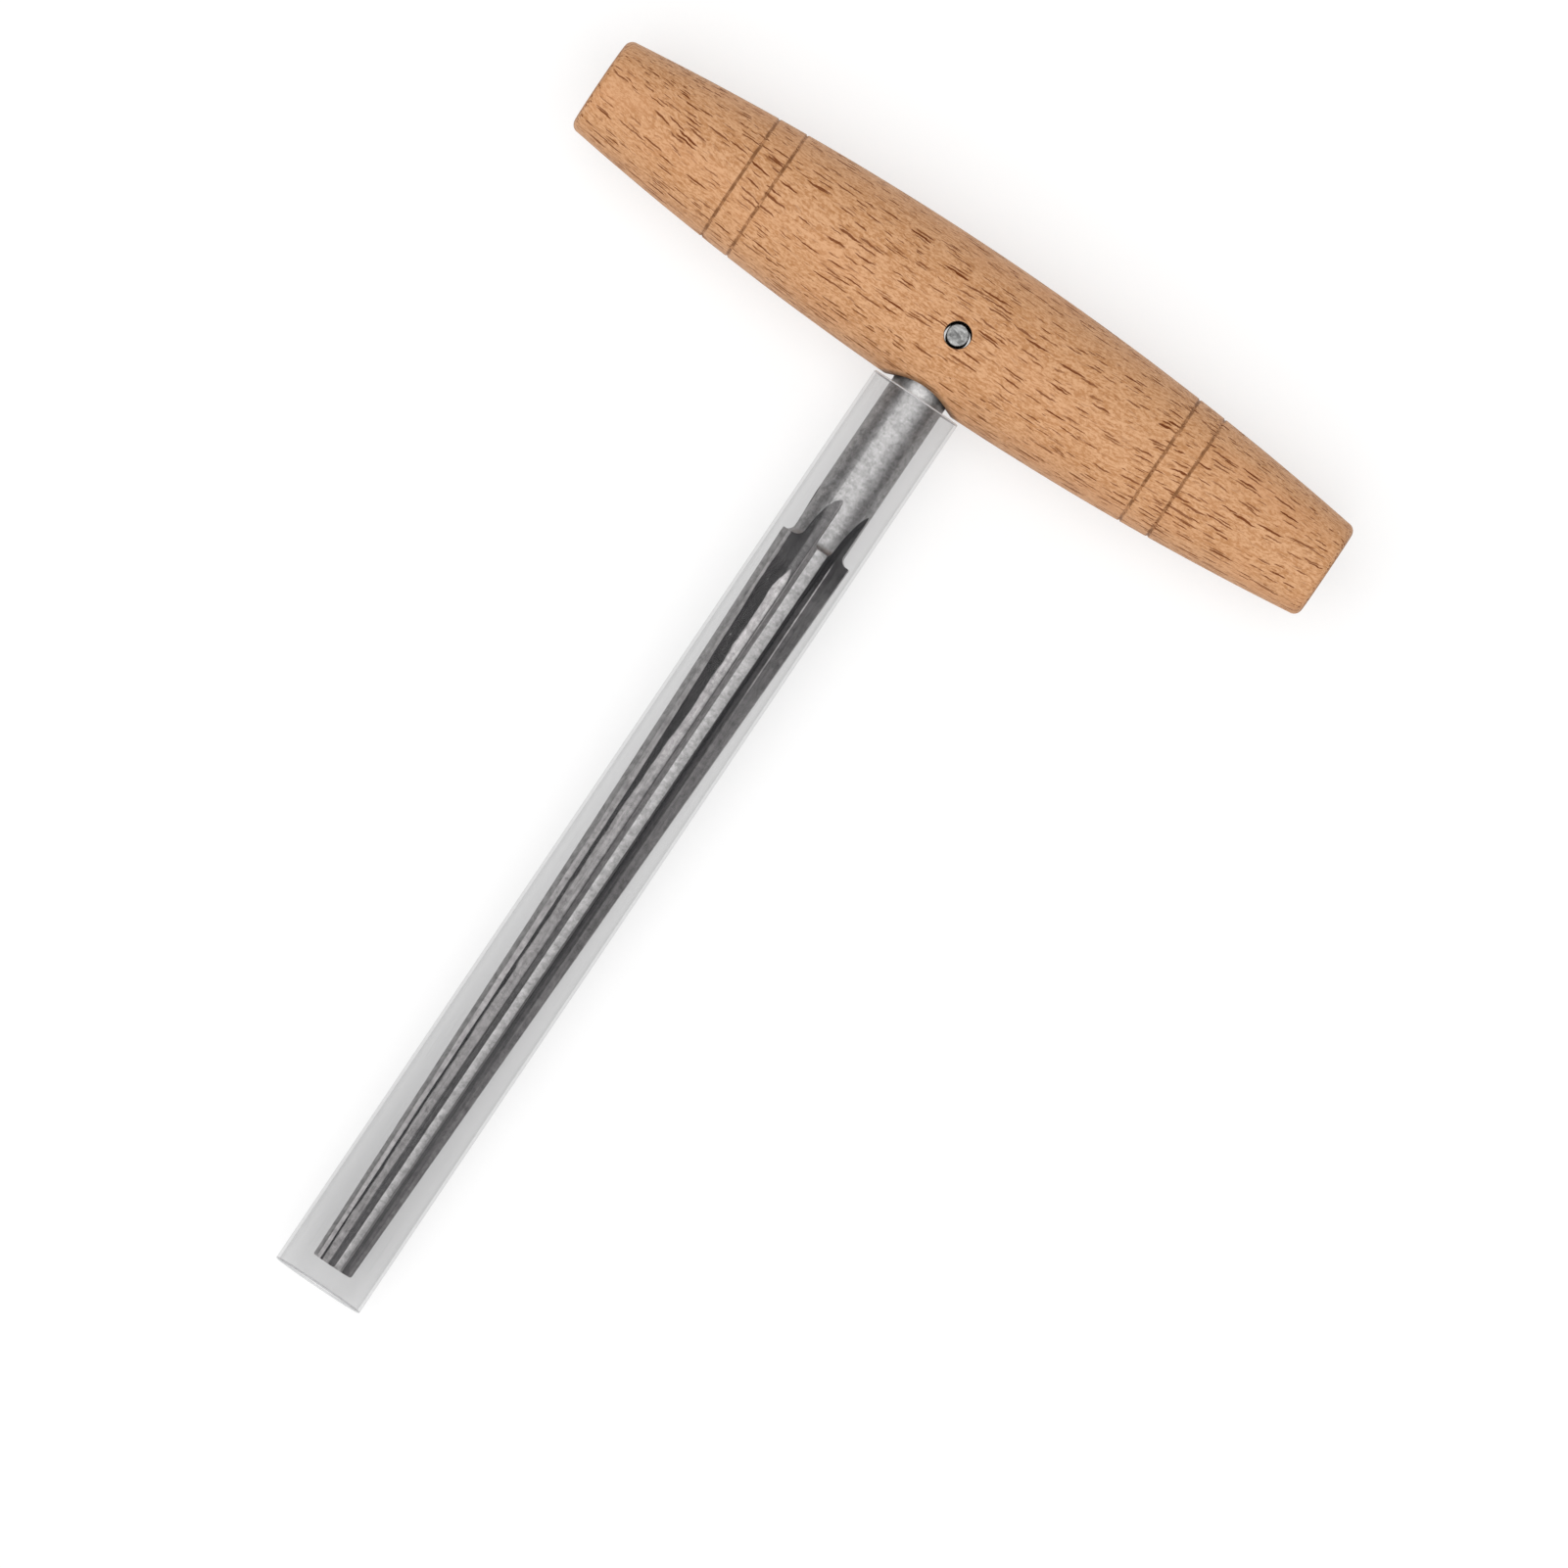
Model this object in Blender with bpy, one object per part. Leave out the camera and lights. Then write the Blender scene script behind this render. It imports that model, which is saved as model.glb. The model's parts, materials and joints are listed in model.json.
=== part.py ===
"""Peg reamer: a turned cross handle, a pinned five-flute blade and a clear guard sleeve, lying on a bench.

The tool is drawn in its own frame and laid down by one empty. In that frame the handle runs along X,
the blade points along -Y and the pin stands along Z. Lengths are in metres.
"""

import math

import bmesh
import bpy

# One millimetre, and the gap left between pieces that touch
MM = 0.001
GAP = 0.3 * MM

# Handle: barrel turned from one blank
HANDLE_LENGTH = 114.5 * MM
HANDLE_MID_D = 21.3 * MM
HANDLE_END_D = 13.7 * MM
HANDLE_EDGE_R = 1.2 * MM
RING_PLACES = (30.9 * MM, 35.1 * MM)
RING_WIDTH = 0.4 * MM
RING_DEPTH = 0.25 * MM

# Blade: plain shank, shoulder, long fluted taper
SHANK_D = 8.0 * MM
SHANK_INSIDE = 5.5 * MM
SHOULDER_AT = 34.6 * MM
SHOULDER_FILLET = 1.0 * MM
TAPER_LARGE_D = 10.8 * MM
TAPER_SMALL_D = 6.2 * MM
TIP_AT = 147.7 * MM
TIP_CHAMFER = 0.2 * MM

# Flutes: angles are measured round the blade from the side that faces up, radii as shares of the taper's
FLUTES = 5
EDGE_ANGLE = 4.2
LAND_ANGLE = 17.3
# Two values each: at the shoulder and at the tip, where the flutes are shallower
FACE_ROOT_ANGLE = (-6.5, -10.0)
FACE_ROOT_SHARE = (0.6, 0.86)
HEEL_ROOT_ANGLE = (-33.0, -36.0)
HEEL_ROOT_SHARE = (0.7, 0.88)
# How far the flutes drift round the blade by the time they reach the tip
FLUTE_DRIFT = 5.0
RUNOUT_START = 27.2 * MM
RUNOUT_END = 34.8 * MM
MILL_R = 33.0 * MM

# Cross pin, a little off the handle's axis toward the tip
PIN_D = 3.0 * MM
PIN_AT = 1.4 * MM
PIN_CHAMFER = 0.2 * MM

# Sleeve: plain tube that slips over the taper with room to spare
SLEEVE_CLEARANCE = 0.75 * MM
SLEEVE_WALL = 0.4 * MM
SLEEVE_LENGTH = 140.0 * MM

# Mouth: recess in the barrel where the blade comes out
MOUTH_D = 10.4 * MM
MOUTH_FLOOR_AT = 7.6 * MM

# Values that follow from the ones above
HANDLE_R = HANDLE_MID_D / 2
SHANK_R = SHANK_D / 2
PIN_R = PIN_D / 2
SLEEVE_BORE_R = TAPER_LARGE_D / 2 + SLEEVE_CLEARANCE
SLEEVE_R = SLEEVE_BORE_R + SLEEVE_WALL
# The sleeve is pushed up to the barrel's side
SLEEVE_START = HANDLE_R + GAP
SLEEVE_END = SLEEVE_START + SLEEVE_LENGTH
# Lying down, the loose sleeve hangs on the blade's large end by its clearance
SLEEVE_HANG = SLEEVE_CLEARANCE - GAP
MOUTH_R = MOUTH_D / 2
# The tool tips until the handle and the sleeve's far end both touch the bench
LOW_SIDE = SLEEVE_R + SLEEVE_HANG
TILT = math.asin(HANDLE_R / math.hypot(SLEEVE_END, LOW_SIDE)) - math.atan2(LOW_SIDE, SLEEVE_END)
FRONT_Y = -SLEEVE_END * math.cos(TILT) - (SLEEVE_R - SLEEVE_HANG) * math.sin(TILT)
CENTRE_Y = -(HANDLE_R + FRONT_Y) / 2

# Turned shapes are drawn along Z, then laid along the handle or the blade
ALONG_X = (0.0, math.pi / 2, 0.0)
ALONG_Y = (-math.pi / 2, 0.0, 0.0)


def clear_scene():
    """Remove every object that the file starts with."""
    for obj in list(bpy.data.objects):
        bpy.data.objects.remove(obj, do_unlink=True)


def material(name, colour, roughness, metallic=0.0, alpha=1.0):
    """A plain material with the piece's colour and finish."""
    made = bpy.data.materials.new(name)
    made.use_nodes = True
    shader = made.node_tree.nodes["Principled BSDF"]
    shader.inputs["Base Color"].default_value = (*colour, 1.0)
    shader.inputs["Roughness"].default_value = roughness
    shader.inputs["Metallic"].default_value = metallic
    shader.inputs["Alpha"].default_value = alpha
    return made


def empty(name, parent=None, location=(0, 0, 0), rotation=(0, 0, 0)):
    """An axis marker that carries other objects."""
    made = bpy.data.objects.new(name, None)
    made.empty_display_size = 0.01
    return place(made, parent, location, rotation)


def place(obj, parent, location=(0, 0, 0), rotation=(0, 0, 0)):
    """Link an object into the scene under its parent."""
    bpy.context.scene.collection.objects.link(obj)
    obj.parent = parent
    obj.location = location
    obj.rotation_euler = rotation
    return obj


def finish_mesh(name, bm):
    """Turn a working mesh into a mesh datablock with outward faces and smooth rounds."""
    bmesh.ops.remove_doubles(bm, verts=bm.verts, dist=1e-7)
    bmesh.ops.recalc_face_normals(bm, faces=bm.faces)
    mesh = bpy.data.meshes.new(name)
    bm.to_mesh(mesh)
    bm.free()
    mesh.shade_smooth()
    mesh.set_sharp_from_angle(angle=math.radians(30))
    return mesh


def turned(name, profile, steps, closed=False):
    """Spin a profile of (height, radius) points round Z."""
    bm = bmesh.new()
    points = [bm.verts.new((radius, 0, height)) for height, radius in profile]
    edges = [bm.edges.new(pair) for pair in zip(points, points[1:])]
    if closed:
        edges.append(bm.edges.new((points[-1], points[0])))
    bmesh.ops.spin(
        bm,
        geom=points + edges,
        cent=(0, 0, 0),
        axis=(0, 0, 1),
        angle=2 * math.pi,
        steps=steps,
        use_merge=True,
    )
    return finish_mesh(name, bm)


def piece(name, mesh, look, parent, location=(0, 0, 0), rotation=(0, 0, 0)):
    """A part of the tool with its own material."""
    mesh.materials.append(look)
    return place(bpy.data.objects.new(name, mesh), parent, location, rotation)


def cutter(name, mesh, parent, location=(0, 0, 0), rotation=(0, 0, 0)):
    """A helper shape that only takes material away."""
    made = place(bpy.data.objects.new(name, mesh), parent, location, rotation)
    made.hide_render = True
    made.display_type = "WIRE"
    return made


def cut(target, tool):
    """Take one helper shape out of a piece."""
    made = target.modifiers.new("cut " + tool.name, "BOOLEAN")
    made.operation = "DIFFERENCE"
    made.solver = "EXACT"
    made.object = tool


def rod_mesh(name, low, high, radius, steps=48):
    """A plain cylinder between two heights."""
    return turned(name, [(high, 0), (high, radius), (low, radius), (low, 0)], steps)


# Handle
def barrel_radius(x):
    """Radius of the barrel's arc at a distance from its middle."""
    drop = (HANDLE_MID_D - HANDLE_END_D) / 2
    half = HANDLE_LENGTH / 2
    arc = (half * half + drop * drop) / (2 * drop)
    return HANDLE_R - arc + math.sqrt(arc * arc - x * x)


def handle_profile():
    """One half of the barrel's outline with its two score rings, mirrored to the other half."""
    half = HANDLE_LENGTH / 2
    edge = HANDLE_EDGE_R
    inner = half - edge
    end_r = barrel_radius(inner) - edge
    stops = {0.0, inner}
    stops.update(inner * i / 9 for i in range(1, 9))
    for ring in RING_PLACES:
        stops = {x for x in stops if abs(x - ring) > 1.5 * RING_WIDTH}
        stops.update((ring - RING_WIDTH / 2, ring, ring + RING_WIDTH / 2))
    outline = []
    for x in sorted(stops):
        depth = RING_DEPTH if x in RING_PLACES else 0.0
        outline.append((x, barrel_radius(x) - depth))
    for i in range(1, 6):
        turn = math.radians(90 * i / 5)
        outline.append((inner + edge * math.sin(turn), end_r + edge * math.cos(turn)))
    outline.append((half, 0.0))
    return [(x, r) for x, r in reversed(outline)] + [(-x, r) for x, r in outline[1:]]


def build_handle(frame):
    """Barrel with the blade's blind bore, the recess at its mouth and the pin's hole."""
    look = material("beech", (0.55, 0.31, 0.15), 0.55)
    handle = piece("handle", turned("handle", handle_profile(), 48), look, frame, rotation=ALONG_X)
    bore = rod_mesh("blade bore", -HANDLE_MID_D, SHANK_INSIDE + GAP, SHANK_R + GAP)
    mouth = rod_mesh("blade mouth", -HANDLE_MID_D, -MOUTH_FLOOR_AT, MOUTH_R)
    hole = rod_mesh("handle pin hole", -HANDLE_MID_D, HANDLE_MID_D, PIN_R + GAP)
    cut(handle, cutter("cutter_bore", bore, frame, rotation=ALONG_Y))
    cut(handle, cutter("cutter_mouth", mouth, frame, rotation=ALONG_Y))
    cut(handle, cutter("cutter_handle_pin", hole, frame, location=(0, -PIN_AT, 0)))


# Blade
def taper_radius(along):
    """Radius of the taper at a distance from the handle's axis."""
    share = (along - SHOULDER_AT) / (TIP_AT - SHOULDER_AT)
    return (TAPER_LARGE_D + (TAPER_SMALL_D - TAPER_LARGE_D) * share) / 2


def blade_profile():
    """Outline of the unfluted blade from the end inside the handle to the tip."""
    inside = SHANK_INSIDE
    bevel = 0.5 * MM
    outline = [(inside, 0), (inside, SHANK_R - bevel), (inside - bevel, SHANK_R)]
    fillet = SHOULDER_FILLET
    for i in range(5):
        turn = math.radians(90 * i / 4)
        outline.append(
            (-SHOULDER_AT + fillet * (1 - math.sin(turn)), SHANK_R + fillet * (1 - math.cos(turn)))
        )
    rim = 0.15 * MM
    outline[-1] = (-SHOULDER_AT, TAPER_LARGE_D / 2 - rim)
    outline.append((-SHOULDER_AT - rim, taper_radius(SHOULDER_AT + rim)))
    outline.append((-TIP_AT + TIP_CHAMFER, taper_radius(TIP_AT - TIP_CHAMFER)))
    outline.append((-TIP_AT, taper_radius(TIP_AT) - TIP_CHAMFER))
    outline.append((-TIP_AT, 0))
    return outline


def polar(share, degrees):
    """A point across the blade: sideways and toward the upper side, as shares of the radius."""
    turn = math.radians(degrees)
    return share * math.sin(turn), share * math.cos(turn)


def between(pair, share):
    """A value on the way from the shoulder to the tip."""
    return pair[0] + (pair[1] - pair[0]) * share


def beyond(start, through, reach):
    """A point on the line from one point through another."""
    return tuple(a + reach * (b - a) for a, b in zip(start, through))


def flute_section(radius, lift, share=0.0):
    """One flute's cross-section: scraping face, root, floor and heel, open to the outside."""
    drift = FLUTE_DRIFT * share
    edge = polar(1.0, EDGE_ANGLE + drift)
    root = polar(between(FACE_ROOT_SHARE, share), between(FACE_ROOT_ANGLE, share) + drift)
    low = polar(between(HEEL_ROOT_SHARE, share), between(HEEL_ROOT_ANGLE, share) + drift)
    heel = polar(1.0, EDGE_ANGLE + LAND_ANGLE - 360 / FLUTES + drift)
    side = beyond(low, heel, 1.5)
    middle = polar(1.5, drift - 25)
    top = beyond(root, edge, 1.5)
    run = math.hypot(edge[0] - root[0], edge[1] - root[1])
    out = tuple((e - r) / run for r, e in zip(root, edge))
    return [
        (radius * x + lift * out[0], radius * z + lift * out[1])
        for x, z in (top, root, low, side, middle)
    ]


def flute_sections():
    """Sections along one flute: the round run-out left by the mill, then the taper."""
    rows = []
    steps = 12
    large = taper_radius(RUNOUT_END)
    start = RUNOUT_START - 1.0 * MM
    for i in range(steps):
        along = start + (RUNOUT_END - start) * i / steps
        back = RUNOUT_END - along
        lift = MILL_R - math.sqrt(MILL_R * MILL_R - back * back)
        rows.append((along, flute_section(large, lift)))
    steps = 8
    for i in range(steps + 1):
        along = RUNOUT_END + (TIP_AT + 2 * MM - RUNOUT_END) * i / steps
        share = (along - RUNOUT_END) / (TIP_AT - RUNOUT_END)
        rows.append((along, flute_section(taper_radius(along), 0.0, share)))
    return rows


def flute_mesh():
    """A closed body that fills one flute, drawn along -Y."""
    bm = bmesh.new()
    rings = [
        [bm.verts.new((x, -along, z)) for x, z in section] for along, section in flute_sections()
    ]
    for near, far in zip(rings, rings[1:]):
        for i in range(len(near)):
            j = (i + 1) % len(near)
            bm.faces.new((near[i], near[j], far[j], far[i]))
    bm.faces.new(rings[0])
    bm.faces.new(rings[-1])
    return finish_mesh("flute", bm)


def build_reamer(frame):
    """Turned blank, then five flutes and the pin's hole taken out of it."""
    look = material("ground_steel", (0.48, 0.47, 0.46), 0.32, metallic=1.0)
    reamer = piece("reamer", turned("reamer", blade_profile(), 60), look, frame, rotation=ALONG_Y)
    shape = flute_mesh()
    for i in range(FLUTES):
        turn = (0.0, 2 * math.pi * i / FLUTES, 0.0)
        cut(reamer, cutter(f"cutter_flute_{i + 1}", shape, frame, rotation=turn))
    hole = rod_mesh("blade pin hole", -HANDLE_MID_D, HANDLE_MID_D, PIN_R + GAP)
    cut(reamer, cutter("cutter_blade_pin", hole, frame, location=(0, -PIN_AT, 0)))


# Pin
def build_pin(frame):
    """Straight pin, flush with the barrel above and below, with eased ends."""
    look = material("pin_steel", (0.36, 0.36, 0.36), 0.45, metallic=1.0)
    half = math.sqrt(HANDLE_R * HANDLE_R - (PIN_AT + PIN_R) ** 2)
    ease = PIN_CHAMFER
    upper = [(half, 0), (half, PIN_R - ease), (half - ease, PIN_R)]
    profile = upper + [(-z, r) for z, r in reversed(upper)]
    piece("pin", turned("pin", profile, 40), look, frame, location=(0, -PIN_AT, 0))


# Sleeve
def build_sleeve(frame):
    """Thin tube hung on the blade, its origin on the line it slides along."""
    look = material("clear_plastic", (0.80, 0.80, 0.82), 0.12, alpha=0.35)
    profile = [
        (0.0, SLEEVE_R),
        (-SLEEVE_LENGTH, SLEEVE_R),
        (-SLEEVE_LENGTH, SLEEVE_BORE_R),
        (0.0, SLEEVE_BORE_R),
    ]
    slide = empty("sleeve_slide", frame, location=(0, -SLEEVE_START, -SLEEVE_HANG))
    piece("sleeve", turned("sleeve", profile, 64, closed=True), look, slide, rotation=ALONG_Y)


def main():
    """Lay the whole tool on the bench, centred on the origin."""
    clear_scene()
    frame = empty("tool_frame", None, (0, CENTRE_Y, HANDLE_R), (TILT, 0, 0))
    build_handle(frame)
    build_reamer(frame)
    build_pin(frame)
    build_sleeve(frame)
    bpy.context.view_layer.update()


main()
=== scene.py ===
"""Dresses a peg reamer: turned beech handle, ground five-flute blade, cross pin and clear guard sleeve.

Every piece is drawn in the tool's own frame, in metres: handle along X, blade along -Y, pin along Z.
The frame's tilt and place come from the packed model, so the pieces lie where its solids lie.
"""

import json
import math

import bmesh
import bpy
from bpy.props import FloatProperty, FloatVectorProperty, IntProperty, PointerProperty
from bpy.types import Operator, Panel, PropertyGroup
from mathutils import Matrix, Vector

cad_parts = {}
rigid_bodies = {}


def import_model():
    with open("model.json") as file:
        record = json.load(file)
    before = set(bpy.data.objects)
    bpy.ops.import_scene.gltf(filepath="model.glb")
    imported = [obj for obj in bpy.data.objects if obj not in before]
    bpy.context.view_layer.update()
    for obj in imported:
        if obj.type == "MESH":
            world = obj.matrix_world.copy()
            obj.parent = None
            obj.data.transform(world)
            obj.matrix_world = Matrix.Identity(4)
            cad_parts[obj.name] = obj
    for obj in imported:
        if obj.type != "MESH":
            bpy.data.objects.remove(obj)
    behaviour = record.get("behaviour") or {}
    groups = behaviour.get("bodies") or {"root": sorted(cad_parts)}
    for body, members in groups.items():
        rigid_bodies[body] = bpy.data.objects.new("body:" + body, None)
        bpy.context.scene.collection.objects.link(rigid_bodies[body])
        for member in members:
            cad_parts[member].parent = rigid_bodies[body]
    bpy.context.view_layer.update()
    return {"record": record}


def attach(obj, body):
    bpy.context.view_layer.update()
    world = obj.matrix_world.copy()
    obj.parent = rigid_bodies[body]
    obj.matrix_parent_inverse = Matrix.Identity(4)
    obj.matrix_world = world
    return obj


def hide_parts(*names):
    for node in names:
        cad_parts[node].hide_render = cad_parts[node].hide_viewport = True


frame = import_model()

bl_info = {
    "name": "Peg Reamer",
    "version": (1, 0, 0),
    "blender": (4, 5, 0),
    "location": "View3D > Sidebar > Peg Reamer",
    "description": "Builds a peg reamer with a beech handle, fluted blade, cross pin and clear sleeve",
    "category": "Add Mesh",
}

MM = 0.001

# Edges sharper than this stay crisp, on turned and on carved pieces
CREASE = math.radians(28)
CARVED_CREASE = math.radians(24)

# Small eased edges of the blade and the pin
SHANK_EASE = 0.5 * MM
RIM_ROUND = 0.18 * MM
TIP_EASE = 0.2 * MM
PIN_EASE = 0.2 * MM

# One flute across the blade, in degrees round it and shares of its radius. A pair is the value at the
# shoulder and its change to the tip.
EDGE_TURN = 4.2
HEEL_TURN = 21.5
ROOT_TURN = (-6.5, -3.5)
ROOT_SHARE = (0.60, 0.26)
FLOOR_TURN = (-33.0, -3.0)
FLOOR_SHARE = (0.70, 0.18)
ROOT_ROUND = 0.07
FLOOR_ROUND = 0.1
OUTSIDE = 1.5
OUTSIDE_TURN = -25

# How far a flute's mill stands out past both ends of the flute
MILL_LEAD = 1.0 * MM
MILL_PAST = 2 * MM

# Tones that no setting changes
RUDDY_WOOD = (0.600, 0.300, 0.150)
SCORED_WOOD = (0.215, 0.094, 0.037)
# Near black wood for the painted shade in the recesses and the painted shadow round the mouth's lip
SHADED_RECESS_WOOD = (0.030, 0.014, 0.007)
CUT_PLASTIC = (0.62, 0.62, 0.63)
CARD_GREY = (0.05, 0.05, 0.05)

# Stage, in metres: the floor turns from partly white to white between two distances from the tool. The sky's
# light is a share of white, and the camera's sensor is in millimetres.
FLOOR_HALF = 6.0
FLOOR_DROP = 0.0002
WHITENING = (0.12, 0.7)
WHITE_NEAR = 0.6
SKY_LIGHT = 0.58
CARD_HALF = 0.7
CARD_TOP = 0.32
SENSOR = 36.0


# Where the packed model lies
def mount(name):
    """One flat face of the packed model by name."""
    for entry in frame["record"]["mounts"]:
        if entry["name"] == name:
            return entry
    raise RuntimeError("the packed model has no face named " + name)


HANDLE_END = mount("handle_end_right")["pos_m"]
BLADE_WAY = mount("sleeve_far_end")["axis"]
TILT = math.atan2(-BLADE_WAY[2], -BLADE_WAY[1])
TOOL = Matrix.Translation((0, HANDLE_END[1], HANDLE_END[2])) @ Matrix.Rotation(TILT, 4, "X")


# Sizes and colours that a user would change
def size(label, words, default):
    """A length with its label."""
    return FloatProperty(name=label, description=words, default=default, unit="LENGTH", precision=5)


def tint(label, words, default):
    """A colour with its label."""
    return FloatVectorProperty(
        name=label, description=words, default=default, subtype="COLOR", size=3, min=0, max=1
    )


class HandleSettings(PropertyGroup):
    """Turned beech handle."""

    length: size("Length", "Overall length of the handle", 2 * HANDLE_END[0])
    middle_d: size("Middle", "Diameter of the barrel at its middle", 2 * HANDLE_END[2])
    end_d: size("Ends", "Diameter that the barrel's arc reaches at its ends", 13.7 * MM)
    edge_r: size("Edge round", "Radius of the eased end edges", 1.2 * MM)
    ring_inner: size("Inner ring", "Distance of the inner score ring from the middle", 30.9 * MM)
    ring_outer: size("Outer ring", "Distance of the outer score ring from the middle", 35.1 * MM)
    ring_width: size("Ring width", "Width of a score ring", 0.4 * MM)
    ring_depth: size("Ring depth", "Depth of a score ring", 0.16 * MM)
    mouth_d: size("Mouth", "Diameter of the recess round the blade", 10.4 * MM)
    mouth_floor: size("Mouth floor", "Distance of the recess floor from the handle's axis", 7.6 * MM)
    pale: tint("Pale wood", "Lighter tone of the beech", (0.612, 0.342, 0.181))
    warm: tint("Warm wood", "Darker tone of the beech", (0.424, 0.198, 0.080))
    pore: tint("Pores", "Tone of the short dark pores", (0.140, 0.033, 0.004))
    end_grain: tint("End grain", "Tone of the cut ends", (0.330, 0.165, 0.080))


class BladeSettings(PropertyGroup):
    """Ground steel blade."""

    shank_d: size("Shank", "Diameter of the plain shank", 8.0 * MM)
    inside: size("Inside", "Length of shank past the handle's axis", 5.5 * MM)
    shoulder: size("Shoulder", "Distance of the shoulder from the handle's axis", 34.6 * MM)
    fillet: size("Fillet", "Radius under the shoulder", 1.0 * MM)
    large_d: size("Large end", "Diameter of the taper at the shoulder", 10.8 * MM)
    small_d: size("Small end", "Diameter of the taper at the tip", 6.2 * MM)
    tip: size("Tip", "Distance of the tip from the handle's axis", 147.7 * MM)
    mill_r: size("Mill radius", "Radius of the run-out that the mill leaves", 33.0 * MM)
    runout: size("Run-out start", "Where the flutes start on the shank", 27.2 * MM)
    full: size("Full depth", "Where the flutes reach full depth", 34.8 * MM)
    drift: FloatProperty(
        name="Drift", description="Turn of the flutes from their start to the tip",
        default=math.radians(5.0), subtype="ANGLE",
    )
    flutes: IntProperty(name="Flutes", description="Number of long flutes", default=5, min=3, max=8)
    ground: tint("Ground steel", "Tone of the ground shank and lands", (0.352, 0.346, 0.344))
    milled: tint("Milled steel", "Tone of the milled flutes", (0.107, 0.103, 0.103))


class PinSettings(PropertyGroup):
    """Cross pin."""

    diameter: size("Diameter", "Diameter of the pin", 3.0 * MM)
    offset: size("Offset", "Distance of the pin from the handle's axis, toward the tip", 1.4 * MM)
    gap: size("Gap", "Dark gap between the pin and the wood", 0.3 * MM)
    steel: tint("Filed steel", "Tone of the filed pin ends", (0.215, 0.215, 0.212))


class SleeveSettings(PropertyGroup):
    """Clear guard sleeve."""

    outer_d: size("Outside", "Outer diameter of the tube", 13.1 * MM)
    wall: size("Wall", "Wall of the tube", 0.4 * MM)
    start: size("Start", "Distance of the near rim from the handle's axis", HANDLE_END[2] + 0.3 * MM)
    length: size("Length", "Length of the tube", 140.0 * MM)
    hang: size("Hang", "How far the loose tube hangs below the blade's axis", 0.45 * MM)
    haze: tint("Haze", "Tone of the clear plastic", (0.090, 0.088, 0.098))


class StageSettings(PropertyGroup):
    """Floor, lamps and camera."""

    lens: FloatProperty(name="Lens", description="Focal length in millimetres", default=500.0)
    view_width: size("View width", "Width of the picture at the tool", 204.85 * MM)
    roll: FloatProperty(
        name="Roll", description="Turn of the picture", default=math.radians(33.99), subtype="ANGLE"
    )
    aim_x: size("Aim X", "Point under the camera along the handle", 13.9 * MM)
    aim_y: size("Aim Y", "Point under the camera along the blade", -62.5 * MM)
    floor: tint("Floor", "Tone of the floor", (0.94, 0.94, 0.94))


# Wiring of node trees
class Wiring:
    """Adds nodes to one tree and joins their sockets."""

    def __init__(self, tree):
        self.tree = tree

    def node(self, kind, **settings):
        """A node with its settings."""
        made = self.tree.nodes.new(kind)
        for key, value in settings.items():
            setattr(made, key, value)
        return made

    def put(self, socket, value):
        """Join a socket to another, or give it a plain value."""
        if isinstance(value, bpy.types.NodeSocket):
            self.tree.links.new(value, socket)
        elif socket.type == "RGBA" and len(value) == 3:
            socket.default_value = (*value, 1.0)
        else:
            socket.default_value = value

    def fill(self, sockets, values):
        """Put a row of values into a row of sockets."""
        for socket, value in zip(sockets, values):
            self.put(socket, value)

    def maths(self, operation, *values, clamp=False):
        """One sum on plain numbers."""
        made = self.node("ShaderNodeMath", operation=operation, use_clamp=clamp)
        self.fill(made.inputs, values)
        return made.outputs[0]

    def vector(self, operation, *values):
        """One sum on vectors."""
        made = self.node("ShaderNodeVectorMath", operation=operation)
        self.fill(made.inputs, values)
        return made.outputs["Value" if operation == "LENGTH" else "Vector"]

    def scaled(self, vector, factor):
        """A vector times one number."""
        made = self.node("ShaderNodeVectorMath", operation="SCALE")
        self.put(made.inputs[0], vector)
        self.put(made.inputs["Scale"], factor)
        return made.outputs["Vector"]

    def split(self, vector):
        """The three parts of a vector."""
        made = self.node("ShaderNodeSeparateXYZ")
        self.put(made.inputs[0], vector)
        return made.outputs

    def joined(self, x, y, z):
        """A vector from three parts."""
        made = self.node("ShaderNodeCombineXYZ")
        self.fill(made.inputs, (x, y, z))
        return made.outputs[0]

    def noise(self, vector, scale=1.0, detail=3.0, roughness=0.5):
        """Cloudy values between 0 and 1."""
        made = self.node("ShaderNodeTexNoise")
        sockets = [made.inputs[key] for key in ("Vector", "Scale", "Detail", "Roughness")]
        self.fill(sockets, (vector, scale, detail, roughness))
        return made.outputs["Fac"]

    def waver(self, vector, scale, reach):
        """Cloudy values around zero, up to half the reach either way."""
        cloud = self.noise(vector, scale, 2.0)
        return self.maths("MULTIPLY", self.maths("SUBTRACT", cloud, 0.5), reach)

    def ramp(self, value, low, high, to_low=0.0, to_high=1.0):
        """Smooth step of a value from one range to another."""
        made = self.node("ShaderNodeMapRange", interpolation_type="SMOOTHSTEP")
        self.fill(made.inputs, (value, low, high, to_low, to_high))
        return made.outputs[0]

    def line(self, value, low, high, to_low, to_high):
        """Straight change of a value from one range to another."""
        made = self.node("ShaderNodeMapRange", clamp=False)
        self.fill(made.inputs, (value, low, high, to_low, to_high))
        return made.outputs[0]

    def between(self, share, under, over):
        """A number on the way from one to another."""
        made = self.node("ShaderNodeMix", data_type="FLOAT")
        self.fill(made.inputs[:1] + made.inputs[2:4], (share, under, over))
        return made.outputs[0]

    def blend(self, share, under, over):
        """One colour laid over another."""
        made = self.node("ShaderNodeMix", data_type="RGBA")
        self.fill(made.inputs[:1] + made.inputs[6:8], (share, under, over))
        return made.outputs[2]

    def group(self, tree, **values):
        """A shared effect with its own values."""
        made = self.node("ShaderNodeGroup", node_tree=tree)
        for key, value in values.items():
            self.put(made.inputs[key], value)
        return made.outputs


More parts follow.
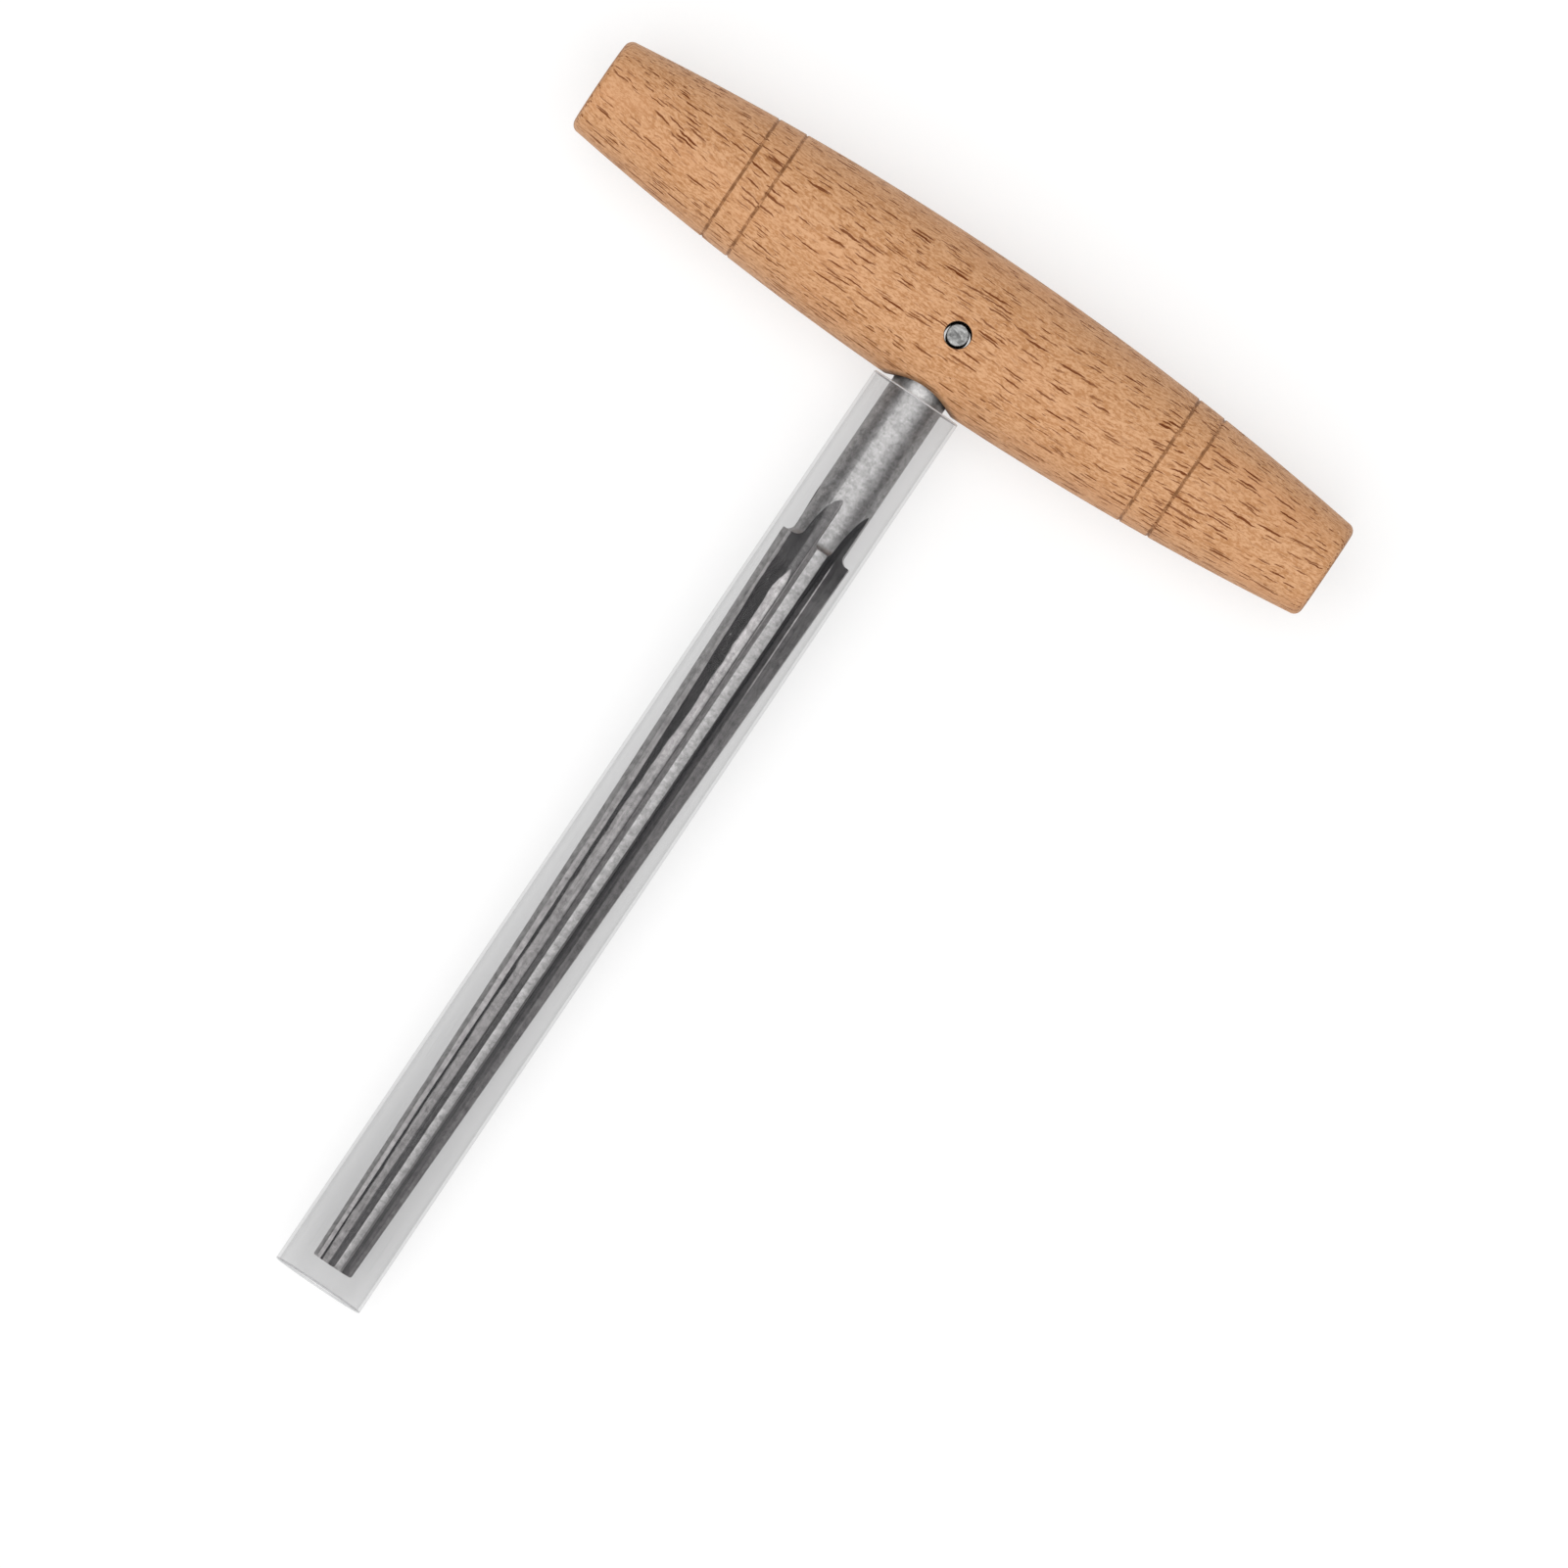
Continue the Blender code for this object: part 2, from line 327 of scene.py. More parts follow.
def shared_group(name, inputs, outputs):
    """An empty shared effect: its wiring, its inputs and its output node."""
    tree = bpy.data.node_groups.new(name, "ShaderNodeTree")
    for label, kind, default in inputs:
        socket = tree.interface.new_socket(name=label, in_out="INPUT", socket_type="NodeSocket" + kind)
        if default is not None:
            socket.default_value = default
    for label, kind in outputs:
        tree.interface.new_socket(name=label, in_out="OUTPUT", socket_type="NodeSocket" + kind)
    wiring = Wiring(tree)
    return wiring, wiring.node("NodeGroupInput").outputs, wiring.node("NodeGroupOutput").inputs


def dashes_group():
    """Short thin marks that run along X, such as wood pores and hairline scratches."""
    found = bpy.data.node_groups.get("Dashes")
    if found:
        return found
    inputs = [
        ("Vector", "Vector", None),
        ("Length", "Float", 2.0),
        ("Width", "Float", 0.3),
        ("Share", "Float", 0.5),
    ]
    w, given, out = shared_group("Dashes", inputs, [("Mask", "Float"), ("Random", "Float")])
    cell = 0.62
    long = w.maths("DIVIDE", cell, given["Length"])
    wide = w.maths("DIVIDE", cell, given["Width"])
    cells = w.node("ShaderNodeTexVoronoi", voronoi_dimensions="3D", feature="F1")
    w.put(cells.inputs["Vector"], w.vector("MULTIPLY", given["Vector"], w.joined(long, wide, wide)))
    w.put(cells.inputs["Scale"], 1.0)
    chance = w.split(cells.outputs["Color"])
    kept = w.maths("LESS_THAN", chance[0], given["Share"])
    reach = w.maths("MULTIPLY_ADD", chance[1], 0.16, 0.2)
    inner = w.maths("MULTIPLY", reach, 0.7)
    mark = w.ramp(cells.outputs["Distance"], reach, inner)
    w.put(out["Mask"], w.maths("MULTIPLY", mark, kept))
    w.put(out["Random"], chance[2])
    return w.tree


def mottle_group():
    """Uneven tone of a handled or machined surface, around a middle of one half."""
    found = bpy.data.node_groups.get("Mottle")
    if found:
        return found
    inputs = [("Vector", "Vector", None), ("Grain", "Float", 1.0), ("Contrast", "Float", 1.0)]
    w, given, out = shared_group("Mottle", inputs, [("Tone", "Float")])
    cloud = w.noise(w.scaled(given["Vector"], w.maths("DIVIDE", 1.0, given["Grain"])), 1.0, 5.0, 0.62)
    lift = w.maths("MULTIPLY", w.maths("SUBTRACT", cloud, 0.5), given["Contrast"])
    w.put(out["Tone"], w.maths("ADD", lift, 0.5, clamp=True))
    return w.tree


def start_material(name):
    """A material with its wiring, its shader and the surface point in millimetres."""
    made = bpy.data.materials.new(name)
    made.use_nodes = True
    w = Wiring(made.node_tree)
    shader = made.node_tree.nodes["Principled BSDF"]
    point = w.scaled(w.node("ShaderNodeTexCoord").outputs["Object"], 1000.0)
    return made, w, shader, point


def bump(w, shader, height, strength, distance):
    """Small relief from a height map."""
    made = w.node("ShaderNodeBump")
    made.inputs["Strength"].default_value = strength
    made.inputs["Distance"].default_value = distance
    w.put(made.inputs["Height"], height)
    w.put(shader.inputs["Normal"], made.outputs["Normal"])


def beech_grain(w, point, handle):
    """The surface point bent to the grain, which drifts, bows and narrows with the barrel."""
    x, y, z = w.split(point)
    lean = w.waver(w.joined(w.maths("MULTIPLY", x, 0.3), y, z), 0.12, 3.0)
    square = w.maths("MULTIPLY", x, x)
    bow = w.maths("MULTIPLY", square, 0.0013)
    half = handle.length / MM / 2
    thinning = (handle.middle_d - handle.end_d) / handle.middle_d / (half * half)
    girth = w.maths("MULTIPLY_ADD", square, -thinning, 1.0)
    across = w.maths("ADD", w.maths("SUBTRACT", y, bow), lean)
    wobble = w.waver(w.vector("MULTIPLY", point, (0.8, 1, 1)), 1.0, 0.5)
    return w.joined(x, w.maths("ADD", across, wobble), w.maths("DIVIDE", z, girth))


def beech_pores(w, grain):
    """Marks the dark pores, long and short, and the faint flecks between them."""
    long = w.group(dashes_group(), Vector=grain, Length=4.2, Width=0.32, Share=0.75)
    moved = w.vector("ADD", grain, (31, 17, 9))
    short = w.group(dashes_group(), Vector=moved, Length=3.0, Width=0.25, Share=0.75)
    moved = w.vector("ADD", grain, (7, 3, 5))
    flecks = w.group(dashes_group(), Vector=moved, Length=1.6, Width=0.2, Share=0.9)
    long_dark = w.maths("MULTIPLY", long["Mask"], w.ramp(long["Random"], 0.0, 1.0, 0.75, 1.0))
    short_dark = w.maths("MULTIPLY", short["Mask"], w.ramp(short["Random"], 0.0, 1.0, 0.5, 0.95))
    return w.maths("MAXIMUM", long_dark, short_dark), w.maths("MULTIPLY", flecks["Mask"], 0.3)


def beech_end(w, grain, dark, handle):
    """Colour of the cut ends: year rings 1.7 mm apart and the ends of the pores."""
    _, y, z = w.split(grain)
    years = w.vector("LENGTH", w.joined(0.0, w.maths("ADD", y, 19.0), w.maths("ADD", z, 27.0)))
    years = w.maths("SINE", w.maths("MULTIPLY", years, math.tau / 1.7))
    cut = w.blend(w.ramp(years, -0.2, 1.0, 0.0, 0.5), tuple(handle.end_grain), tuple(handle.warm))
    return w.blend(w.maths("MULTIPLY", dark, 0.6), cut, tuple(handle.pore))


def beech(handle, pin):
    """Sanded beech: fine streaks, short dark pores along the grain, score rings and painted shade in the
    recesses.
    """
    made, w, shader, point = start_material("beech")
    x, y, z = w.split(point)
    grain = beech_grain(w, point, handle)

    # Fine tone along the grain, with ruddy patches
    streak = w.noise(w.vector("MULTIPLY", grain, (0.07, 1, 1)), 1.3, 5.0, 0.6)
    fibre = w.noise(w.vector("MULTIPLY", grain, (0.16, 1, 1)), 4.2, 3.0, 0.7)
    specks = w.vector("MULTIPLY", grain, (0.5, 1, 1))
    dust = w.group(mottle_group(), Vector=specks, Grain=0.3, Contrast=2.0)["Tone"]
    clouds = w.vector("MULTIPLY", point, (0.45, 1, 1))
    patch = w.group(mottle_group(), Vector=clouds, Grain=9.0, Contrast=1.6)["Tone"]
    tone = w.maths("MULTIPLY_ADD", fibre, 0.48, w.maths("MULTIPLY", streak, 0.22))
    tone = w.maths("MULTIPLY_ADD", dust, 0.3, tone)
    colour = w.blend(w.ramp(tone, 0.4, 0.61), tuple(handle.pale), tuple(handle.warm))
    colour = w.blend(w.ramp(patch, 0.45, 0.95, 0.0, 0.45), colour, RUDDY_WOOD)

    # Pores, cut ends, score rings, and painted shade in the recesses
    dark, faint = beech_pores(w, grain)
    colour = w.blend(faint, colour, tuple(handle.pore))
    colour = w.blend(dark, colour, tuple(handle.pore))
    half = handle.length / MM / 2
    end = w.ramp(w.maths("ABSOLUTE", x), half - 0.35, half - 0.03, 0.0, 0.8)
    colour = w.blend(end, colour, beech_end(w, grain, dark, handle))
    ring = score_mask(w, x, y, z, handle)
    worn = w.ramp(w.noise(point, 0.7, 4.0, 0.65), 0.36, 0.62, 0.15, 0.9)
    colour = w.blend(w.maths("MULTIPLY", ring, worn), colour, SCORED_WOOD)
    # Painted shade in the pin's hole and the mouth, and painted shadow round the mouth's lip
    colour = w.blend(recess_shade_mask(w, x, y, z, handle, pin), colour, SHADED_RECESS_WOOD)
    w.put(shader.inputs["Base Color"], colour)

    # Gloss and relief
    sheen = w.maths("MULTIPLY_ADD", w.maths("SUBTRACT", patch, 0.5), 0.18, 0.5)
    w.put(shader.inputs["Roughness"], w.maths("MULTIPLY_ADD", dark, 0.25, sheen, clamp=True))
    shader.inputs["Specular IOR Level"].default_value = 0.16
    height = w.maths("MULTIPLY_ADD", fibre, 0.25, w.maths("MULTIPLY", dark, -1.0))
    height = w.maths("MULTIPLY_ADD", ring, -0.6, height)
    bump(w, shader, height, 0.35, 0.12 * MM)
    return made


def score_mask(w, x, y, z, handle):
    """Marks the two score rings on each half of the handle."""
    away = w.maths("ABSOLUTE", w.maths("ADD", x, w.waver(w.joined(0.0, y, z), 0.5, 0.4)))
    half = handle.ring_width / MM / 2
    marks = []
    for place in (handle.ring_inner, handle.ring_outer):
        off = w.maths("ABSOLUTE", w.maths("SUBTRACT", away, place / MM))
        marks.append(w.ramp(off, half * 1.75, half * 0.6))
    return w.maths("MAXIMUM", *marks)


def recess_shade_mask(w, x, y, z, handle, pin):
    """Marks the painted shade in the pin's hole and inside the blade's mouth, and the painted shadow of the
    sleeve's rim round the mouth's lip.
    """
    # Painted shade in the gap round the pin
    off = w.vector("LENGTH", w.joined(x, w.maths("ADD", y, pin.offset / MM), 0.0))
    hole_r = (pin.diameter / 2 + pin.gap) / MM
    hole = w.ramp(off, hole_r + 0.12, hole_r + 0.02)
    # Painted shade inside the blade's mouth
    deep = w.vector("LENGTH", w.joined(0.0, y, z))
    surface = handle.middle_d / MM / 2
    inside = w.ramp(deep, surface - 0.12, surface - 0.7)
    lip = handle.mouth_d / MM / 2
    near = w.ramp(w.maths("ABSOLUTE", x), lip + 0.6, lip + 0.2)
    mouth = w.maths("MULTIPLY", w.maths("MULTIPLY", inside, near), 0.85)
    # Painted shadow of the sleeve's rim on the wood round the mouth's lip
    out = w.vector("LENGTH", w.joined(x, 0.0, z))
    front = w.ramp(y, -6.0, -7.0)
    lip_shadow = w.maths("MULTIPLY", w.ramp(out, lip + 1.3, lip + 0.1, 0.0, 0.6), front)
    return w.maths("MAXIMUM", hole, w.maths("MAXIMUM", mouth, lip_shadow))


def flute_strip(w, along, angle, loose, shaded_side):
    """Marks the bright strip ground on a flute's floor, which starts in an arch past the shoulder. It is
    painted fainter on the shaded side of the blade, as painted shade.
    """
    near = w.maths("SUBTRACT", loose, w.ramp(along, 58.0, 84.0, -29.5, -36.0))
    root = w.maths("ADD", angle, w.ramp(along, 85.0, 135.0, 0.0, 8.0))
    strip = w.maths("MULTIPLY", w.ramp(near, -1.5, 2.0), w.ramp(root, -6.0, -8.5))
    aside = w.maths("MULTIPLY_ADD", loose, 0.1, 1.7)
    arch = w.maths("MULTIPLY", w.maths("MULTIPLY", aside, aside), 2.2)
    strip = w.maths("MULTIPLY", strip, w.ramp(w.maths("SUBTRACT", along, arch), 38.4, 39.4))
    # Painted shade: the strip is fainter on the shaded side of the blade
    return w.maths("MULTIPLY", strip, w.between(shaded_side, 1.0, 0.15))


def flute_heel(w, along, angle, ragged):
    """Marks the bright strip along a flute's heel."""
    edge = w.maths("SUBTRACT", angle, w.ramp(along, 38.0, 86.0, -48.0, -42.0))
    edge = w.maths("MULTIPLY_ADD", ragged, 3.0, edge)
    return w.maths("MULTIPLY", w.ramp(edge, 0.6, -0.6), w.ramp(along, 34.0, 35.0))


def flute_face(w, along, angle, shaded_side):
    """Brightness that the cutting face adds, lower on the shaded side of the blade as painted shade, and the
    painted highlight along the face's root.
    """
    # Painted shade: the face is darker on the shaded side of the blade
    face_gain = w.between(shaded_side, w.ramp(along, 60.0, 110.0, 2.0, 0.2), w.ramp(along, 45.0, 65.0, 0.1, 0.6))
    face = w.ramp(angle, -7.0, -4.5, 0.0, face_gain)
    # Painted highlight: a thin bright line along each flute's root
    root_glint = w.ramp(w.maths("ABSOLUTE", w.maths("ADD", angle, 5.0)), 1.2, 0.5)
    root_glint = w.maths("MULTIPLY", root_glint, w.ramp(along, 34.5, 37.0))
    return w.maths("MULTIPLY_ADD", root_glint, w.ramp(along, 42.0, 62.0, 3.2, 0.2), face)


def flute_heel_dark(w, point, along, angle):
    """Darkness toward each flute's heel, stronger near the run-out, and broken up in places."""
    # Darker toward the heel side of each flute, weaker past the run-out
    scale = w.maths("MULTIPLY", w.ramp(angle, -20.0, -27.0), w.ramp(along, 34.0, 40.0, 1.1, 0.7))
    breaks = w.ramp(w.noise(w.vector("MULTIPLY", point, (1.9, 1.0, 1.9)), 1.0, 2.0, 0.6), 0.68, 0.73)
    return w.maths("MULTIPLY", scale, w.maths("MULTIPLY_ADD", breaks, -1.4, 1.0))


def flute_tone(w, point, blade):
    """Brightness in the flutes, and a mask of their ground strips.

    Places along the blade are in millimetres from the handle's axis, and turns round it in degrees from its
    upper side. The first flute reaches from its heel at about -50 to its cutting edge at about 4, and the
    others repeat it. The flutes to the right of the upper land are painted darker, as painted shade on that
    side of the blade.
    """
    x, y, z = w.split(point)
    along = w.maths("MULTIPLY", y, -1.0)
    full, tip = blade.full / MM, blade.tip / MM
    turn = w.maths("DEGREES", w.maths("ARCTAN2", x, z))
    turn = w.maths("SUBTRACT", turn, w.line(along, full, tip, 0.0, math.degrees(blade.drift)))
    angle = w.maths("WRAP", turn, 10.0, 10.0 - 360 / blade.flutes)
    # Painted shade: the flutes to the right of the upper land count as the shaded side
    shaded_side = w.ramp(turn, 8.0, 14.0)
    ragged = w.noise(w.vector("MULTIPLY", point, (1.2, 0.16, 1.2)), 1.0, 4.0, 0.65)
    ragged = w.maths("SUBTRACT", ragged, 0.5)
    loose = w.maths("MULTIPLY_ADD", ragged, 14.0, angle)
    strip = flute_strip(w, along, angle, loose, shaded_side)
    heel = flute_heel(w, along, angle, ragged)
    # Painted shade: a darker base on the shaded side of the blade
    base_and_shade = w.between(shaded_side, w.ramp(along, 36.0, 40.0, 1.45, 1.0), w.ramp(along, 36.0, 42.0, 0.3, 0.8))
    base_and_shade = w.maths("ADD", base_and_shade, w.ramp(along, 85.0, 130.0, 0.0, w.between(shaded_side, -0.3, 0.6)))
    base_and_shade = w.maths("MULTIPLY_ADD", ragged, 0.5, base_and_shade)
    tone = w.maths("ADD", base_and_shade, flute_face(w, along, angle, shaded_side))
    tone = w.maths("MAXIMUM", w.maths("SUBTRACT", tone, flute_heel_dark(w, point, along, angle)), 0.12)
    tone = w.between(strip, tone, w.ramp(along, 45.0, 85.0, 2.9, 1.8))
    tone = w.between(heel, tone, w.ramp(along, 75.0, 105.0, 1.7, 2.4))
    return tone, w.maths("MAXIMUM", strip, heel)


def lengthways(w, point):
    """The surface point with the blade's length first, so that dashes run along the blade."""
    x, y, z = w.split(point)
    return w.joined(y, x, z)


def steel(name, tone, *, rough, cloud, contrast, streaks, stretch, blotch, depth, marks, flutes=None):
    """Satin steel with uneven tone, long streaks, dark blotches and fine tool marks.

    cloud is the size of the uneven patches in millimetres and contrast their strength. streaks is the
    strength of the streaks and stretch their direction. blotch is the fineness of the blotches and depth
    their strength. The tool marks run along the blade in its flutes, and across it elsewhere.
    """
    made, w, shader, point = start_material(name)
    marked = lengthways(w, point) if flutes else point
    uneven = w.group(mottle_group(), Vector=point, Grain=cloud, Contrast=contrast)["Tone"]
    speck = w.group(mottle_group(), Vector=point, Grain=0.4, Contrast=1.8)["Tone"]
    lines = w.group(dashes_group(), Vector=marked, **marks)["Mask"]
    shade = w.maths("MULTIPLY_ADD", uneven, 0.5, 0.75)
    shade = w.maths("MULTIPLY", shade, w.maths("MULTIPLY_ADD", speck, 0.5, 0.75))
    shade = w.maths("MULTIPLY_ADD", lines, -0.12, shade)
    streak = w.noise(w.vector("MULTIPLY", point, stretch), 2.6, 3.0, 0.6)
    shade = w.maths("MULTIPLY", shade, w.ramp(streak, 0.3, 0.7, 1.0 - streaks, 1.0 + streaks))
    stain = w.noise(w.vector("ADD", point, (5.3, 2.1, 8.7)), blotch, 3.0, 0.6)
    shade = w.maths("MULTIPLY", shade, w.ramp(stain, 0.38, 0.5, 1.0 - depth, 1.0))
    gloss = w.maths("MULTIPLY_ADD", speck, 0.16, rough - 0.08)
    shader.inputs["Metallic"].default_value = 1.0
    if flutes:
        inside, ground = flute_tone(w, point, flutes)
        shade = w.maths("MULTIPLY", shade, inside)
        gloss = w.maths("MULTIPLY_ADD", ground, -0.12, w.maths("ADD", gloss, 0.12))
        w.put(shader.inputs["Metallic"], w.maths("MULTIPLY_ADD", ground, 0.6, 0.4))
        shader.inputs["Specular IOR Level"].default_value = 0.3
        shader.inputs["Specular Tint"].default_value = (0.3, 0.3, 0.3, 1.0)
    w.put(shader.inputs["Base Color"], w.scaled(tone, shade))
    w.put(shader.inputs["Roughness"], w.maths("MULTIPLY_ADD", lines, 0.08, gloss, clamp=True))
    height = w.maths("MULTIPLY_ADD", lines, -0.8, w.maths("MULTIPLY", speck, 0.5))
    bump(w, shader, height, 0.12, 0.04 * MM)
    return made


def clear_plastic(sleeve):
    """Thin clear tube: faint grey haze, denser at its rims and where it turns away, and denser toward its
    far end as painted shade.
    """
    made, w, shader, point = start_material("clear_plastic")
    clouds = w.vector("MULTIPLY", point, (1, 0.25, 1))
    cloud = w.group(mottle_group(), Vector=clouds, Grain=5.0, Contrast=1.5)["Tone"]
    scuffs = w.group(dashes_group(), Vector=lengthways(w, point), Length=9.0, Width=0.16, Share=0.3)
    tone = w.scaled(tuple(sleeve.haze), w.maths("MULTIPLY_ADD", cloud, 0.2, 0.9))
    near = sleeve.start / MM
    far = (sleeve.start + sleeve.length) / MM
    along = w.maths("MULTIPLY", w.split(point)[1], -1.0)
    near_rim = w.ramp(along, near + 0.32, near + 0.12)
    far_rim = w.ramp(along, far - 0.32, far - 0.12)
    rim = w.maths("MAXIMUM", near_rim, far_rim)
    w.put(shader.inputs["Base Color"], w.blend(rim, tone, CUT_PLASTIC))
    facing = w.node("ShaderNodeLayerWeight")
    facing.inputs["Blend"].default_value = 0.35
    haze = w.ramp(facing.outputs["Facing"], 0.35, 1.0, 0.08, 0.24)
    # Painted shade: the haze grows denser toward the far end
    haze = w.maths("ADD", haze, w.ramp(along, near + 50.0, far, 0.0, 0.03))
    haze = w.maths("MULTIPLY_ADD", scuffs["Mask"], 0.03, haze)
    w.put(shader.inputs["Alpha"], w.maths("MULTIPLY_ADD", rim, 0.5, haze, clamp=True))
    w.put(shader.inputs["Roughness"], w.maths("MULTIPLY_ADD", cloud, 0.14, 0.1))
    shader.inputs["IOR"].default_value = 1.45
    bump(w, shader, cloud, 0.08, 0.3 * MM)
    return made


# Meshes
def arc(degrees, count):
    """Sines and cosines of even turns from zero to an angle."""
    turns = [math.radians(degrees * i / count) for i in range(count + 1)]
    return [(math.sin(turn), math.cos(turn)) for turn in turns]


def finish_mesh(name, bm):
    """A mesh datablock with outward faces, smooth rounds and crisp edges."""
    bmesh.ops.remove_doubles(bm, verts=bm.verts, dist=1e-7)
    bmesh.ops.recalc_face_normals(bm, faces=bm.faces)
    mesh = bpy.data.meshes.new(name)
    bm.to_mesh(mesh)
    bm.free()
    mesh.shade_smooth()
    mesh.set_sharp_from_angle(angle=CREASE)
    return mesh


def spun(name, profile, axis, steps, closed=False, centre=(0, 0, 0)):
    """Spin a profile of (along, radius) points round an axis through the centre."""
    ways = {"X": ((1, 0, 0), (0, 0, 1)), "Y": ((0, 1, 0), (0, 0, 1)), "Z": ((0, 0, 1), (1, 0, 0))}
    along, out = (Vector(way) for way in ways[axis])
    middle = Vector(centre)
    bm = bmesh.new()
    points = [bm.verts.new(middle + along * a + out * r) for a, r in profile]
    edges = [bm.edges.new(pair) for pair in zip(points, points[1:])]
    if closed:
        edges.append(bm.edges.new((points[-1], points[0])))
    bmesh.ops.spin(
        bm, geom=points + edges, cent=middle, axis=along, angle=math.tau, steps=steps, use_merge=True
    )
    return finish_mesh(name, bm)


def rod(name, axis, low, high, radius, steps=96, centre=(0, 0, 0)):
    """A plain cutter between two places on an axis."""
    return spun(name, [(low, 0), (low, radius), (high, radius), (high, 0)], axis, steps, centre=centre)


def carve(name, mesh, cutters):
    """Take cutter shapes out of a mesh, keep the result and clear the helpers away."""
    scene = bpy.context.scene.collection.objects
    body = bpy.data.objects.new(name + "_blank", mesh)
    scene.link(body)
    helpers = []
    for i, shape in enumerate(cutters):
        helper = bpy.data.objects.new(f"{name}_cutter_{i}", shape)
        scene.link(helper)
        helpers.append(helper)
        step = body.modifiers.new(helper.name, "BOOLEAN")
        step.operation = "DIFFERENCE"
        step.solver = "EXACT"
        step.material_mode = "TRANSFER"
        step.object = helper
    bpy.context.view_layer.update()
    graph = bpy.context.evaluated_depsgraph_get()
    result = bpy.data.meshes.new_from_object(body.evaluated_get(graph), depsgraph=graph)
    result.name = name
    for helper in [body] + helpers:
        bpy.data.objects.remove(helper, do_unlink=True)
    if not result.polygons:
        raise RuntimeError("nothing is left of " + name + " after carving")
    result.shade_smooth()
    result.set_sharp_from_angle(angle=CARVED_CREASE)
    return result


def show(name, mesh, body, node):
    """Put a finished mesh in the tool's frame in place of its solid."""
    obj = bpy.data.objects.new(name, mesh)
    bpy.context.scene.collection.objects.link(obj)
    obj.matrix_world = TOOL
    bpy.context.view_layer.update()
    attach(obj, body)
    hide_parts(node)


# Handle
def barrel_radius(handle, x):
    """Radius of the barrel's arc at a distance from its middle."""
    drop = (handle.middle_d - handle.end_d) / 2
    half = handle.length / 2
    arc = (half * half + drop * drop) / (2 * drop)
    return handle.middle_d / 2 - arc + math.sqrt(arc * arc - x * x)


def handle_profile(handle):
    """Barrel outline with rounded score rings and eased ends."""
    half = handle.length / 2
    edge = handle.edge_r
    inner = half - edge
    rings = (handle.ring_inner, handle.ring_outer)
    width = handle.ring_width
    stops = [inner * i / 90 for i in range(91)]
    stops = [x for x in stops if all(abs(x - ring) > width for ring in rings)]
    for ring in rings:
        stops += [ring + width * part / 8 for part in range(-5, 6)]
    outline = []
    for x in sorted(stops):
        near = min(abs(x - ring) for ring in rings) / (width / 2)
        dip = handle.ring_depth * max(0.0, 1 - near) ** 0.8
        outline.append((x, barrel_radius(handle, x) - dip))
    end_r = barrel_radius(handle, inner) - edge
    for sine, cosine in arc(90, 10)[1:]:
        outline.append((inner + edge * sine, end_r + edge * cosine))
    for share in (0.66, 0.33, 0.0):
        outline.append((half, end_r * share))
    return list(reversed(outline)) + [(-x, r) for x, r in outline[1:]]


class PEGREAMER_OT_handle(Operator):
    """Turn the beech handle and bore it for the blade and the pin"""

    bl_idname = "peg_reamer.handle"
    bl_label = "Turn Handle"

    def execute(self, context):
        handle = context.scene.reamer_handle
        blade = context.scene.reamer_blade
        pin = context.scene.reamer_pin
        far = handle.middle_d
        gap = pin.gap
        cutters = [
            rod("bore", "Y", -far, blade.inside + gap, blade.shank_d / 2 + gap),
            rod("mouth", "Y", -far, -handle.mouth_floor, handle.mouth_d / 2),
            rod("pin_hole", "Z", -far, far, pin.diameter / 2 + gap, 64, (0, -pin.offset, 0)),
        ]
        blank = spun("handle_wood", handle_profile(handle), "X", 160)
        mesh = carve("handle_wood", blank, cutters)
        mesh.materials.clear()
        mesh.materials.append(beech(handle, pin))
        show("handle_wood", mesh, "tool", "handle")
        return {"FINISHED"}


# Blade
def taper_radius(blade, along):
    """Radius of the taper at a distance from the handle's axis."""
    share = (along - blade.shoulder) / (blade.tip - blade.shoulder)
    return (blade.large_d + (blade.small_d - blade.large_d) * share) / 2


def blade_profile(blade):
    """Outline of the unfluted blade from inside the handle to the tip."""
    shank = blade.shank_d / 2
    large = blade.large_d / 2
    fillet = blade.fillet
    outline = [
        (blade.inside, 0),
        (blade.inside, shank - SHANK_EASE),
        (blade.inside - SHANK_EASE, shank),
    ]
    for sine, cosine in arc(90, 12)[:-1]:
        outline.append((-blade.shoulder + fillet * (1 - sine), shank + fillet * (1 - cosine)))
    for sine, cosine in arc(90, 4):
        outline.append((-blade.shoulder - RIM_ROUND * (1 - cosine), large - RIM_ROUND + RIM_ROUND * sine))
    outline.append((-blade.tip + TIP_EASE, taper_radius(blade, blade.tip - TIP_EASE)))
    outline.append((-blade.tip, taper_radius(blade, blade.tip) - TIP_EASE))
    outline.append((-blade.tip, 0))
    return outline


def polar(share, degrees):
    """A point across the blade as shares of its radius: sideways, then toward the upper side."""
    turn = math.radians(degrees)
    return Vector((share * math.sin(turn), share * math.cos(turn)))


def rounded(before, corner, after, reach):
    """Points of a small curve in place of a corner."""
    first = corner + (before - corner).normalized() * reach
    last = corner + (after - corner).normalized() * reach
    points = []
    for i in range(7):
        t = i / 6
        points.append(first * (1 - t) ** 2 + corner * (2 * t * (1 - t)) + last * t * t)
    return points


